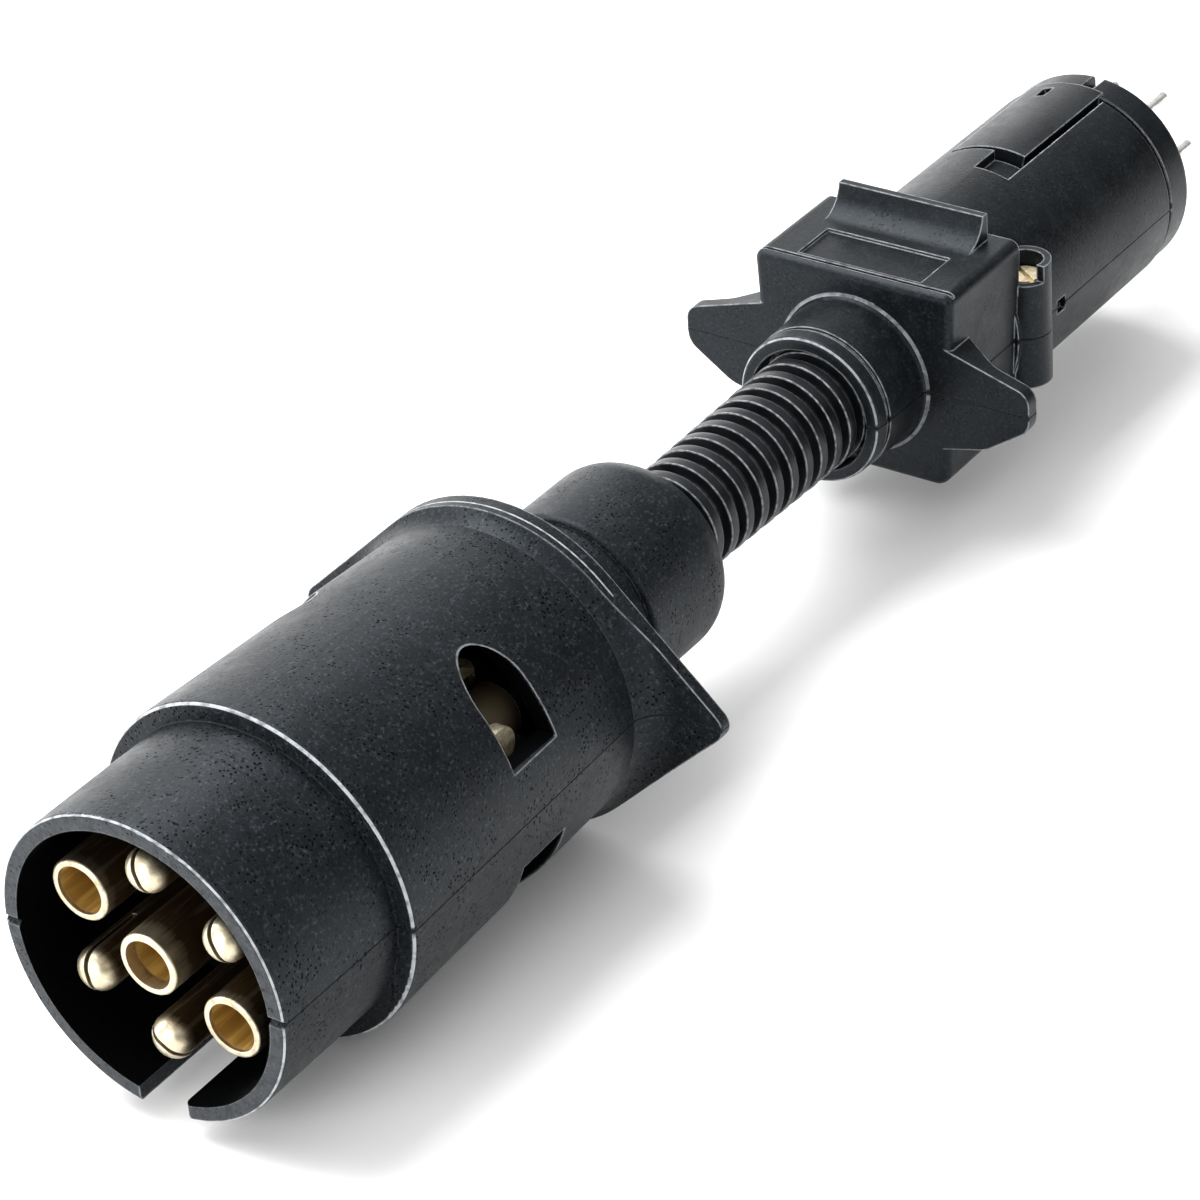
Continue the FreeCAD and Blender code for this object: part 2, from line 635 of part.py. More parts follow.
def grip_housing():
    """Both halves in one: snout, block with fin, wings and bosses, and barrel."""
    barrel = turned([(BLOCK_END - 1, 0, 0), (BLOCK_END - 1, CYL_R, 0), (CYL_END, CYL_R, 0.3),
                     (CYL_END, 0, 0)])
    wing = finger_wing()
    boss = screw_boss()
    body = fused([snout(), barrel, grip_block(), thumb_fin(), wing, mirrored_y(wing), boss,
                  mirrored_y(boss)])
    holes = boss_holes()
    panel = box(PANEL_X, PANEL_X + PANEL_LEN, -PANEL_HALF_W, PANEL_HALF_W,
                BLOCK_TOP - PANEL_DEPTH, BLOCK_TOP + 1)
    key_slot = sector(INSERT_X - 1, CYL_END + 1, CYL_R - CYL_WALL - 0.5, CYL_R + 1,
                      KEY_FROM - 0.3, KEY_TO + 4)
    pocket = sector(INSERT_X - 7, INSERT_X - 0.9, CYL_R - 1.6, CYL_R + 1, 88, KEY_TO + 4)
    catch = box(CATCH_X, CATCH_X + CATCH_LEN, CYL_R - CATCH_DEPTH, CYL_R + 1, -CATCH_HALF_H,
                CATCH_HALF_H)
    cuts = [housing_hollow(), holes, mirrored_y(holes), panel, key_slot, pocket, catch,
            mirrored_y(catch)]
    return body.cut(fused(cuts))


def boss_screws():
    """Two screws that hold the halves of the grip housing together."""
    seat = V(BOSS_X, BOSS_Y, BOSS_SEAT_Z)
    screw = slotted_screw(seat, V(0, 0, 1), BOSS_SCREW_LEN, BOSS_SCREW_R, BOSS_HEAD_R,
                          BOSS_HEAD_H, BOSS_SLOT_ANGLE)
    return Part.makeCompound([screw, mirrored_y(screw)])


def pin_insert():
    """Insulating insert: body, locating key, notched rim and pin holes."""
    face_x = RIM_END - RIM_RECESS
    face_r = RIM_R - RIM_WALL
    body = rod(INSERT_X, RIM_X + 1, INSERT_R)
    rim = turned([(RIM_X, 0, 0), (RIM_X, RIM_R, 0.2), (RIM_END, RIM_R, 1.2), (RIM_END, 0, 0)])
    recess = turned([(face_x, 0, 0), (face_x, face_r, 0.3), (RIM_END + 1, face_r, 0),
                     (RIM_END + 1, 0, 0)])
    key = sector(INSERT_X, RIM_X + 1, INSERT_R - 1, CYL_R, KEY_FROM, KEY_TO)
    notch = sector(RIM_X + 1.5, RIM_END + 1, RIM_R - 2.0, RIM_R + 2, 90, 97)
    dimple = sector(RIM_X - 4, RIM_X - 1, CYL_R - 0.9, CYL_R + 1, 72, 78)
    insert = fused([body, rim, key]).cut(fused([recess, notch, dimple]))
    for place in thin_places():
        stem_hole = rod(INSERT_X - 1, RIM_END + 1, THIN_STEM_R + CONTACT_CLEARANCE, place)
        sleeve_hole = rod(INSERT_X - 1, INSERT_X + 2, SLEEVE_R + CONTACT_CLEARANCE, place)
        insert = insert.cut(stem_hole).cut(sleeve_hole)
    return insert


def thin_places():
    return [ORIGIN] + [polar(0, THIN_PITCH_R, angle) for angle in THIN_ANGLES]


def thin_pin(place):
    """Thin round pin on a thicker stem, with a crimp sleeve behind the insert."""
    stem_x = SLEEVE_X + 4
    face_x = RIM_END - RIM_RECESS
    shaft = turned([(stem_x, 0, 0), (stem_x, THIN_STEM_R, 0), (face_x, THIN_STEM_R, 0),
                    (face_x, THIN_PIN_R, 0), (THIN_TIP_X, THIN_PIN_R, 0.4), (THIN_TIP_X, 0, 0)])
    sleeve = turned([(SLEEVE_X, 0, 0), (SLEEVE_X, SLEEVE_R, 0.3), (INSERT_X + 2, SLEEVE_R, 0),
                     (INSERT_X + 2, 0, 0)])
    wire_hole = rod(SLEEVE_X - 1, SLEEVE_X + 5.5, WIRE_R + CONTACT_CLEARANCE)
    pin = shaft.fuse(sleeve).cut(wire_hole)
    pin.translate(place)
    return pin


# ---------------------------------------------------------------- output
def all_parts():
    parts = {}
    parts["plug_shell_upper"], parts["plug_shell_lower"] = halves(plug_shell())
    parts["contact_carrier"] = contact_carrier()
    sockets = 0
    pins = 0
    for centre, tip, end, slot_angle in contact_places():
        if slot_angle is None:
            sockets += 1
            parts["socket_contact_%d" % sockets] = socket_contact(centre, tip, end)
        else:
            pins += 1
            parts["split_pin_%d" % pins] = split_pin(centre, tip, end, slot_angle)
    parts["terminal_screws"] = terminal_screws()
    parts["gland_cap"] = gland_cap()
    for number, section in enumerate(conduit_sections(), 1):
        parts["conduit_%d" % number] = section
    planes = bend_planes()
    gap = SECTION_GAP / 2
    parts["wires_1"] = front_wires()
    for number, (x0, x1) in enumerate(zip(planes, planes[1:]), 2):
        parts["wires_%d" % number] = straight_wires(x0 + gap, x1 - gap)
    parts["wires_%d" % (len(planes) + 1)] = rear_wires()
    parts["grip_housing_upper"], parts["grip_housing_lower"] = halves(grip_housing())
    parts["boss_screws"] = boss_screws()
    parts["pin_insert"] = pin_insert()
    for number, place in enumerate(thin_places(), 1):
        parts["thin_pin_%d" % number] = thin_pin(place)
    return parts


os.makedirs("parts", exist_ok=True)
for name, shape in all_parts().items():
    shape.exportStep("parts/%s.step" % name)
    print(name, "solids", len(shape.Solids), "valid", shape.isValid(), "volume", round(shape.Volume))
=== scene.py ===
import json
import math

import bmesh
import bpy
from mathutils import Matrix, Vector


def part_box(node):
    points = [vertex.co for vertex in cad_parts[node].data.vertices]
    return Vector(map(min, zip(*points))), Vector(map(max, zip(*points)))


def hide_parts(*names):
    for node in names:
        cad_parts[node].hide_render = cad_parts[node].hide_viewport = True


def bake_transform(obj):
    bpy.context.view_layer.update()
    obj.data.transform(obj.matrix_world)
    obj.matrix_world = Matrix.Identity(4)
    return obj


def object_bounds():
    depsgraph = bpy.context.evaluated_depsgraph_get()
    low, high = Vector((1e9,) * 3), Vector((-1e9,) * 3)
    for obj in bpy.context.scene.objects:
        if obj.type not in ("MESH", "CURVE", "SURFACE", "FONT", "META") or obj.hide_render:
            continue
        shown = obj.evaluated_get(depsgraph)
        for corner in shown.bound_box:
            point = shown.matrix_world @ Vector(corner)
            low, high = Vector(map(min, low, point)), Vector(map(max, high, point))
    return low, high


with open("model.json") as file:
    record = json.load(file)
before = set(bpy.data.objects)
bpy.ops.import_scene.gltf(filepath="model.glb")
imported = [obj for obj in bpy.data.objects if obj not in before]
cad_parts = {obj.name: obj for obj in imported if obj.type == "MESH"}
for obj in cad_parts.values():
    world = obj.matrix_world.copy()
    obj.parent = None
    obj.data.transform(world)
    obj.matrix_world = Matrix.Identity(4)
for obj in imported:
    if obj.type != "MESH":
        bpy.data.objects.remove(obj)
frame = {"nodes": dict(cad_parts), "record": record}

# Trailer wiring adaptor. Metres, same frame as the CAD: X runs from the large plug's
# mating face to the small plug's pins, Z is up.
CAD_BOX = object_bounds()
MM = 0.001

# ---- camera, at the photograph's viewing angle ----
CAMERA_AT = Vector((-0.28207, -0.28483, 0.29888))
LOOK_AT = Vector((0.103, 0.0054, -0.00785))
CAMERA_ROLL = math.radians(-4.7)
CAMERA_LENS = 125.6

# ---- plastics' colours, and the reach of each socket contact's gold bore ----
BLACK = (0.0042, 0.0050, 0.0058, 1)
# Edge colours: wear on the edges, partly painted highlight; the dull one serves the insulators.
EDGE_WEAR_AND_HIGHLIGHT = (0.42, 0.44, 0.46, 1)
DULL_EDGE = (0.04, 0.042, 0.045, 1)
PIT_BLACK = (0.0015, 0.0015, 0.0015, 1)
# Painted shade: near black for the surfaces inside the large plug.
PAINTED_SHADE_BLACK = (0.0015, 0.0016, 0.0018, 1)
BLUISH = (0.80, 0.90, 1.0, 1)
BORE_R = 3.7 * MM

# ---- rings round the X axis, in millimetres: x from, x to, r from, r to (and amount) ----
# The first list holds round edges worn bright and painted with highlights, the second edges left
# without that wear and highlight, and the last two the surfaces within the large plug, painted near
# black as painted shade.
WORN_AND_HIGHLIT_RINGS = [(-0.1, 0.05, 19.3, 21.2, 0.06), (0.05, 0.25, 21.0, 21.6, 0.9),
          (22.05, 22.35, 23.4, 24.1, 0.9), (74.9, 75.15, 23.1, 23.7, 0.9),
          (148.62, 148.85, 10.9, 11.5, 0.7), (160.7, 160.98, 12.2, 13.2, 0.45)]
QUIET = [(15.4, 16.6, 20.0, 22.0), (21.2, 22.04, 20.0, 24.1), (180.2, 182.5, 14.5, 17.6)]
SHROUD_PAINTED_SHADE = (-1.0, 21.5, -1.0, 19.3)
WINDOW_PAINTED_SHADE = (45.0, 57.5, -1.0, 22.3)

# ---- conduit and wires, in millimetres as in the CAD ----
RIB_START = 107.8
RIB_PITCH = 3.7
RIB_COUNT = 12
RIB_W = 1.9
RIB_DEPTH = 2.0
GROOVE_FLARE = 0.4
GROOVE_ROUND = 0.35
GROOVE_FLOOR = 0.05
CREST_CROWN = 0.06
FRONT_CORNER_R = 0.08
REAR_CORNER_R = 0.3
SEAM_GROOVES = (4, 6, 8)
BEND_GROOVES = (3, 5, 7, 9)
CONDUIT_R_FRONT = 8.0
CONDUIT_R_REAR = 8.85
CONDUIT_BORE_R = 5.2
COLLAR_T = 3.6
FRONT_COLLAR_R = 12.7
REAR_COLLAR_R = 10.2
SPIN = 128
WIRE_R = 1.0
WIRE_START_X = 53.0
CENTRE_WIRE_START_X = 65.0
GATHER_X, GATHER_LEN = 63, 24.7
SPREAD_X, SPREAD_LEN = 163, 20
BUNDLE_R = 2.6
TERMINAL_R = 12.4
THIN_PITCH_R = 8.5
WIRE_ANGLES = [30, 90, 150, 210, 270, 330]
THIN_ANGLES = [0, 60, 120, 180, 240, 300]
BODIES = ["large_plug", "bend_link_1", "bend_link_2", "bend_link_3", "small_plug"]
# The bend of this piece would be measured from its rear body; bent_piece swaps the bodies but applies
# no bend, so the shape is the same either way.
REAR_BODY_FIRST = [3]


# ---------------------------------------------------------------- node helpers
class Surface:
    """A material's node tree, with short calls for the patterns used below."""

    def __init__(self, name):
        self.material = bpy.data.materials.new(name)
        self.material.use_nodes = True
        self.tree = self.material.node_tree
        self.shader = self.tree.nodes["Principled BSDF"]
        self.coords = self.add("ShaderNodeTexCoord").outputs["Object"]

    def add(self, kind, **settings):
        node = self.tree.nodes.new(kind)
        for key, value in settings.items():
            setattr(node, key, value)
        return node

    def join(self, source, target):
        if isinstance(source, bpy.types.NodeSocket):
            self.tree.links.new(source, target)
        else:
            target.default_value = source

    def stretched(self, x, y, z):
        """Object coordinates scaled unevenly, for marks that run along one axis."""
        node = self.add("ShaderNodeMapping")
        self.join(self.coords, node.inputs["Vector"])
        node.inputs["Scale"].default_value = (x, y, z)
        return node.outputs["Vector"]

    def noise(self, per_metre, detail=3.0, rough=0.5, vector=None):
        node = self.add("ShaderNodeTexNoise")
        self.join(vector or self.coords, node.inputs["Vector"])
        node.inputs["Scale"].default_value = per_metre
        node.inputs["Detail"].default_value = detail
        node.inputs["Roughness"].default_value = rough
        return node.outputs["Fac"]

    def cells(self, per_metre):
        """Distance to the nearest of many scattered points."""
        node = self.add("ShaderNodeTexVoronoi")
        self.join(self.coords, node.inputs["Vector"])
        node.inputs["Scale"].default_value = per_metre
        return node.outputs["Distance"]

    def spread(self, value, low, high, out_low=0.0, out_high=1.0):
        """Remap value from low..high to out_low..out_high, clamped."""
        node = self.add("ShaderNodeMapRange")
        self.join(value, node.inputs["Value"])
        node.inputs["From Min"].default_value = low
        node.inputs["From Max"].default_value = high
        node.inputs["To Min"].default_value = out_low
        node.inputs["To Max"].default_value = out_high
        return node.outputs["Result"]

    def maths(self, operation, a, b=0.0):
        node = self.add("ShaderNodeMath", operation=operation)
        self.join(a, node.inputs[0])
        self.join(b, node.inputs[1])
        return node.outputs[0]

    def blend(self, share, a, b):
        """Colour a where share is 0 and b where it is 1."""
        node = self.add("ShaderNodeMix", data_type="RGBA")
        self.join(share, node.inputs["Factor"])
        self.join(a, node.inputs["A"])
        self.join(b, node.inputs["B"])
        return node.outputs["Result"]

    def along(self, axis):
        """One coordinate of the object, in metres."""
        node = self.add("ShaderNodeSeparateXYZ")
        self.join(self.coords, node.inputs["Vector"])
        return node.outputs[axis]

    def off_axis(self, y=0.0, z=0.0):
        """Distance from a line along X through (y, z), in metres."""
        across = self.maths("SUBTRACT", self.along("Y"), y)
        up = self.maths("SUBTRACT", self.along("Z"), z)
        squares = self.maths("ADD", self.maths("MULTIPLY", across, across),
                             self.maths("MULTIPLY", up, up))
        return self.maths("SQRT", squares)

    def between(self, value, low, high):
        """1 where a length lies between two limits in millimetres, 0 elsewhere."""
        above = self.maths("GREATER_THAN", value, low * MM)
        below = self.maths("LESS_THAN", value, high * MM)
        return self.maths("MULTIPLY", above, below)

    def ring(self, x0, x1, r0, r1):
        """1 in a ring round the X axis, given in millimetres, 0 elsewhere."""
        along = self.between(self.along("X"), x0, x1)
        return self.maths("MULTIPLY", along, self.between(self.off_axis(), r0, r1))

    def rounded(self, radius):
        """Normal with every edge rounded by radius."""
        node = self.add("ShaderNodeBevel", samples=6)
        node.inputs["Radius"].default_value = radius
        return node.outputs["Normal"]

    def edges(self, radius):
        """1 on sharp edges, falling to 0 at radius away from them."""
        dot = self.add("ShaderNodeVectorMath", operation="DOT_PRODUCT")
        flat = self.add("ShaderNodeNewGeometry").outputs["True Normal"]
        self.join(self.rounded(radius), dot.inputs[0])
        self.join(flat, dot.inputs[1])
        return self.spread(dot.outputs["Value"], 0.995, 0.8)

    def bump(self, height, distance, strength=1.0, normal=None):
        node = self.add("ShaderNodeBump")
        node.inputs["Distance"].default_value = distance
        node.inputs["Strength"].default_value = strength
        self.join(height, node.inputs["Height"])
        if normal:
            self.join(normal, node.inputs["Normal"])
        return node.outputs["Normal"]

    def finish(self, colour, roughness, normal, metallic=0.0, specular=0.5, tint=(1, 1, 1, 1)):
        self.join(colour, self.shader.inputs["Base Color"])
        self.join(tint, self.shader.inputs["Specular Tint"])
        self.join(roughness, self.shader.inputs["Roughness"])
        self.join(normal, self.shader.inputs["Normal"])
        self.join(metallic, self.shader.inputs["Metallic"])
        self.join(specular, self.shader.inputs["Specular IOR Level"])
        return self.material


# ---------------------------------------------------------------- materials
def lighter(colour, times):
    return [c * times for c in colour[:3]] + [1]


def moulded_black(name, pitted, edge_wear_and_highlight, rough):
    """Moulded black plastic: mottled, pitted in patches, its grain flecked with painted glints, its
    edges rubbed bright and painted with highlights, and painted shade inside the large plug.
    """
    s = Surface(name)
    mottle = s.noise(90, 4.0)
    cloud = s.noise(520, 4.0, 0.65)
    fine = s.noise(2600, 3.0, 0.7)
    patch = s.spread(s.noise(170, 3.0), 0.38, 0.6, 0.15, 1.0)
    hollow = s.spread(s.cells(1500), 0.20, 0.34)
    pits = s.maths("MULTIPLY", s.maths("SUBTRACT", 1.0, hollow), s.maths("MULTIPLY", patch, pitted))
    # Painted glints: light flecks on the grain, standing for highlights on its tiny bumps.
    painted_grain_glints = s.maths("MULTIPLY", s.spread(s.noise(1900, 3.0, 0.7), 0.54, 0.70, 0.0, 0.9), pitted)
    # Edges painted pale: partly rubbed wear, partly painted highlight on the rounded edges, kept off
    # the parting line and broken up in patches.
    edge = s.edges(0.4 * MM)
    for x0, x1, r0, r1, amount in WORN_AND_HIGHLIT_RINGS:
        edge = s.maths("MAXIMUM", edge, s.maths("MULTIPLY", s.ring(x0, x1, r0, r1), amount))
    for x0, x1, r0, r1 in QUIET:
        edge = s.maths("SUBTRACT", edge, s.ring(x0, x1, r0, r1))
    off_seam = s.spread(s.maths("ABSOLUTE", s.along("Z")), 0.3 * MM, 0.7 * MM)
    broken = s.spread(s.noise(800, 3.0), 0.35, 0.55, 0.4, 1.0)
    worn_and_highlit = s.maths("MULTIPLY", s.maths("MAXIMUM", edge, 0.0), s.maths("MULTIPLY", off_seam, broken))
    tone = s.blend(s.spread(mottle, 0.35, 0.7), BLACK, lighter(BLACK, 1.8))
    clouded = s.blend(s.spread(cloud, 0.5, 0.75, 0.0, 0.6), tone, lighter(BLACK, 3.0))
    with_grain_glints = s.blend(painted_grain_glints, clouded, lighter(BLACK, 9.0))
    holed = s.blend(pits, with_grain_glints, PIT_BLACK)
    colour = s.blend(worn_and_highlit, holed, edge_wear_and_highlight)
    # Painted shade: inside the shroud and the windows the colour is painted near black and the sheen
    # is taken away.
    painted_shade_inside = s.maths("MAXIMUM", s.ring(*SHROUD_PAINTED_SHADE), s.ring(*WINDOW_PAINTED_SHADE))
    colour = s.blend(painted_shade_inside, colour, PAINTED_SHADE_BLACK)
    shine = s.spread(s.maths("ADD", pits, painted_shade_inside), 0.0, 1.0, 0.18, 0.02)
    roughness = s.spread(s.maths("ADD", mottle, cloud), 0.7, 1.3, rough - 0.08, rough + 0.1)
    height = s.maths("SUBTRACT", s.maths("MULTIPLY", fine, 0.8), pits)
    normal = s.bump(height, 0.035 * MM, 1.0, s.rounded(0.3 * MM))
    return s.finish(colour, roughness, normal, specular=shine, tint=BLUISH)


def conduit_rubber():
    """Glossy black flexible conduit, with painted highlights along its rib edges, broken up in
    patches.
    """
    s = Surface("conduit_rubber")
    mottle = s.noise(260, 4.0)
    highlight_breakup = s.spread(s.noise(1100, 3.0), 0.4, 0.6, 0.35, 1.0)
    # Painted highlight: rib edges painted near white, broken up in patches.
    crest_highlight = s.maths("MULTIPLY", s.edges(0.4 * MM), highlight_breakup)
    tone = s.blend(s.spread(mottle, 0.35, 0.7), (0.003, 0.0034, 0.004, 1), (0.009, 0.010, 0.0115, 1))
    colour = s.blend(crest_highlight, tone, (0.86, 0.88, 0.90, 1))
    roughness = s.spread(mottle, 0.3, 0.7, 0.28, 0.42)
    return s.finish(colour, roughness, s.bump(s.noise(1500, 2.0), 0.03 * MM), specular=0.28,
                    tint=BLUISH)


def contact_brass(name, y, z, bore_r):
    """Turned brass contact on the line (y, z): pale at its tip, streaked and tarnished towards the
    carrier, dull gold inside its bore, and painted dark from 36 mm back as painted shade inside the
    plug body."""
    s = Surface(name)
    turned = s.noise(1.0, 3.0, 0.6, s.stretched(9000, 900, 900))
    streak = s.noise(1.0, 4.0, 0.6, s.stretched(60, 900, 900))
    depth = s.spread(s.along("X"), 2.0 * MM, 4.5 * MM)
    tarnish = s.spread(s.maths("ADD", s.maths("MULTIPLY", depth, 0.6), streak), 0.62, 1.1)
    bright = s.blend(s.spread(turned, 0.35, 0.65), (0.58, 0.49, 0.32, 1), (0.68, 0.62, 0.48, 1))
    aged = s.blend(tarnish, bright, (0.10, 0.06, 0.026, 1))
    # Painted shade: the rear part inside the plug body is painted dark and less metallic.
    terminal_shade = s.spread(s.along("X"), 36 * MM, 37 * MM)
    with_terminal_shade = s.blend(terminal_shade, aged, (0.09, 0.07, 0.04, 1))
    bore = s.maths("MULTIPLY", s.spread(s.off_axis(y, z), bore_r, bore_r + 0.1 * MM, 1.0, 0.0),
                   s.spread(s.along("X"), 3.0 * MM, 3.3 * MM))
    gold = s.blend(s.spread(streak, 0.4, 0.6), (0.34, 0.19, 0.036, 1), (0.56, 0.35, 0.08, 1))
    colour = s.blend(bore, with_terminal_shade, gold)
    colour = s.blend(s.maths("MULTIPLY", s.edges(0.25 * MM), 0.85), colour, (0.80, 0.73, 0.58, 1))
    roughness = s.spread(s.maths("ADD", s.maths("ADD", turned, tarnish), bore), 0.3, 2.4, 0.36, 0.62)
    normal = s.bump(turned, 0.012 * MM, 1.0, s.rounded(0.15 * MM))
    dull = s.maths("MAXIMUM", bore, s.maths("MULTIPLY", terminal_shade, 0.6))
    return s.finish(colour, roughness, normal, metallic=s.spread(dull, 0, 1, 1.0, 0.25))


def plain_metal(name, light, dark, rough):
    """Small bright metal part with faint handling marks."""
    s = Surface(name)
    marks = s.noise(1.0, 4.0, 0.6, s.stretched(2500, 7000, 7000))
    blotch = s.noise(900, 3.0)
    colour = s.blend(s.spread(blotch, 0.4, 0.7), light, dark)
    roughness = s.spread(marks, 0.3, 0.7, rough - 0.06, rough + 0.12)
    normal = s.bump(marks, 0.01 * MM, 1.0, s.rounded(0.12 * MM))
    return s.finish(colour, roughness, normal, metallic=0.7)


def wire_insulation():
    s = Surface("wire_insulation")
    streak = s.noise(1.0, 3.0, 0.5, s.stretched(120, 1500, 1500))
    colour = s.blend(s.spread(streak, 0.35, 0.65), (0.02, 0.021, 0.023, 1), (0.05, 0.05, 0.053, 1))
    return s.finish(colour, s.spread(streak, 0.3, 0.7, 0.32, 0.5), s.bump(streak, 0.02 * MM))


def paint_cad_nodes():
    """Give each carried-over CAD node the finish of its own material slot."""
    finishes = {
        "grained_black_plastic": moulded_black("grained_black", 1.0, EDGE_WEAR_AND_HIGHLIGHT, 0.40),
        "smooth_black_plastic": moulded_black("smooth_black", 0.45, EDGE_WEAR_AND_HIGHLIGHT, 0.36),
        "insulator_plastic": moulded_black("insulator_black", 0.2, DULL_EDGE, 0.5),
        "insert_plastic": moulded_black("insert_black", 0.3, EDGE_WEAR_AND_HIGHLIGHT, 0.34),
        "conduit_rubber": conduit_rubber(),
        "screw_brass": plain_metal("screw_brass", (0.95, 0.87, 0.64, 1), (0.62, 0.47, 0.24, 1), 0.36),
        "plated_pin": plain_metal("plated_pin", (0.82, 0.81, 0.78, 1), (0.52, 0.50, 0.46, 1), 0.2),
        "wire_insulation": wire_insulation(),
    }
    slots = {m["slot"] for m in frame["record"]["materials"]}
    for part in frame["record"]["subparts"]:
        node = frame["nodes"][part["node"]]
        slot = part["material_slot"]
        if slot == "contact_brass":
            low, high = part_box(part["node"])
            centre = (low + high) / 2
            bore_r = BORE_R if part["node"].startswith("socket") else 0.0
            node.material_slots[0].material = contact_brass(part["node"], centre.y, centre.z, bore_r)
        elif slot in slots:
            node.material_slots[0].material = finishes[slot]
    return finishes


# ---------------------------------------------------------------- mesh helpers
def new_piece(name, mesh, material):
    for polygon in mesh.polygons:
        polygon.use_smooth = True
    piece = bpy.data.objects.new(name, mesh)
    piece.data.materials.append(material)
    bpy.context.scene.collection.objects.link(piece)
    return piece


def skin_rings(bm, rings, closed):
    """Join rings of vertices one after another; closed also joins the last to the first."""
    pairs = list(zip(rings, rings[1:]))
    if closed:
        pairs.append((rings[-1], rings[0]))
    for a, b in pairs:
        count = len(a)
        for i in range(count):
            j = (i + 1) % count
            bm.faces.new((a[i], a[j], b[j], b[i]))


def turned_mesh(name, profile):
    """Closed ring-shaped mesh: profile is (x, r) in millimetres, spun about X."""
    bm = bmesh.new()
    rings = []
    for x, r in profile:
        ring = []
        for i in range(SPIN):
            a = 2 * math.pi * i / SPIN
            ring.append(bm.verts.new((x * MM, r * math.cos(a) * MM, r * math.sin(a) * MM)))
        rings.append(ring)
    skin_rings(bm, rings, closed=True)
    bmesh.ops.recalc_face_normals(bm, faces=bm.faces)
    mesh = bpy.data.meshes.new(name)
    bm.to_mesh(mesh)
    bm.free()
    return mesh


def tube_into(bm, points, radius, sides=16):
    """Round tube along points in millimetres, with flat ends."""
    rings = []
    last = len(points) - 1
    for i, p in enumerate(points):
        run = (points[min(i + 1, last)] - points[max(i - 1, 0)]).normalized()
        side = run.cross(Vector((0, 0, 1))).normalized()
        up = side.cross(run)
        ring = []
        for k in range(sides):
            a = 2 * math.pi * k / sides
            at = p + side * (radius * math.cos(a)) + up * (radius * math.sin(a))
            ring.append(bm.verts.new(at * MM))
        rings.append(ring)
    skin_rings(bm, rings, closed=False)
    bm.faces.new(rings[0])
    bm.faces.new(rings[-1])


# ---------------------------------------------------------------- conduit
def crest_r(x):
    share = (x - RIB_START) / (RIB_PITCH * RIB_COUNT)
    return CONDUIT_R_FRONT + share * (CONDUIT_R_REAR - CONDUIT_R_FRONT)


def rib_profile(index):
    """Outline of one rib with the groove half before it and the half after it."""
    start = RIB_START + RIB_PITCH * index
    middle = start + RIB_PITCH / 2
    crest = crest_r(middle)
    root = crest - RIB_DEPTH
    half = RIB_W / 2
    points = [(start, root - GROOVE_FLOOR)]
    for side in (-1, 1):
        wall = []
        for step in range(5):
            a = math.radians(90 * step / 4)
            wall.append((middle + side * (half + GROOVE_FLARE * (1 - math.sin(a))),
                         root + GROOVE_ROUND * (1 - math.cos(a))))
        corner = FRONT_CORNER_R if side < 0 else REAR_CORNER_R
        for step in range(6):
            a = math.radians(90 * step / 5)
            wall.append((middle + side * (half - corner * (1 - math.cos(a))),
                         crest - corner * (1 - math.sin(a))))
        if side > 0:
            wall.append((middle + half * 0.2, crest + CREST_CROWN))
            wall.reverse()
        points += wall
    return points


def outer_profile(x0, x1):
    """Conduit outline between two groove planes, or past the ribs to a collar."""
    rib_end = RIB_START + RIB_PITCH * RIB_COUNT
    points = []
    if x0 < RIB_START:
        points += [(x0, FRONT_COLLAR_R), (x0 + COLLAR_T, FRONT_COLLAR_R),
                   (x0 + COLLAR_T, CONDUIT_R_FRONT), (RIB_START - 0.2, CONDUIT_R_FRONT)]
    for index in range(RIB_COUNT):
        middle = RIB_START + RIB_PITCH * (index + 0.5)
        if x0 < middle < x1:
            points += rib_profile(index)
    if x1 > rib_end:
        root = CONDUIT_R_REAR - RIB_DEPTH
        points += [(rib_end + 0.4, root), (rib_end + 0.4, REAR_COLLAR_R), (x1, REAR_COLLAR_R)]
    else:
        points.append((x1, crest_r(x1) - RIB_DEPTH - GROOVE_FLOOR))
    return points


def seams():
    """Planes in the grooves halfway between neighbouring bends, with both outer ends."""
    inner = [RIB_START + RIB_PITCH * n for n in SEAM_GROOVES]
    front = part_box("conduit_1")[0].x / MM
    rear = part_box("conduit_5")[1].x / MM
    return [front] + inner + [rear]


def bend_ranges():
    """Where each joint's turn begins and ends along the conduit."""
    bends = [RIB_START + RIB_PITCH * n for n in BEND_GROOVES]
    return [(x - RIB_PITCH, x + RIB_PITCH) for x in bends]


def bent_piece(piece, number, node_kind):
    """Bake a piece's placement and hide the CAD nodes it stands for; the joint's two bodies and bend
    range are worked out but not used.
    """
    x0, x1 = bend_ranges()[number - 1]
    first, second = (BODIES[number - 1], x0), (BODIES[number], x1)
    if number in REAR_BODY_FIRST:
        first, second = second, first
    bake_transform(piece)
    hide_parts("%s_%d" % (node_kind, number))
    if number == len(BODIES) - 1:
        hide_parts("%s_%d" % (node_kind, len(BODIES)))


def build_conduit(material):
    planes = seams()
    for number, (x0, x1) in enumerate(zip(planes, planes[1:]), 1):
        outer = outer_profile(x0, x1)
        steps = max(8, int((x1 - x0) / 0.6))
        bore = [(x1 - (x1 - x0) * i / steps, CONDUIT_BORE_R) for i in range(steps + 1)]
        mesh = turned_mesh("ribbed_conduit_%d" % number, outer + bore)
        piece = new_piece("ribbed_conduit_%d" % number, mesh, material)
        bent_piece(piece, number, "conduit")


# ---------------------------------------------------------------- wires
def ring_point(x, r, angle):
    a = math.radians(angle)
    return Vector((x, r * math.cos(a), r * math.sin(a)))


def eased(a, b, t):
    t = min(1.0, max(0.0, t))
    return a.lerp(b, t * t * (3 - 2 * t))


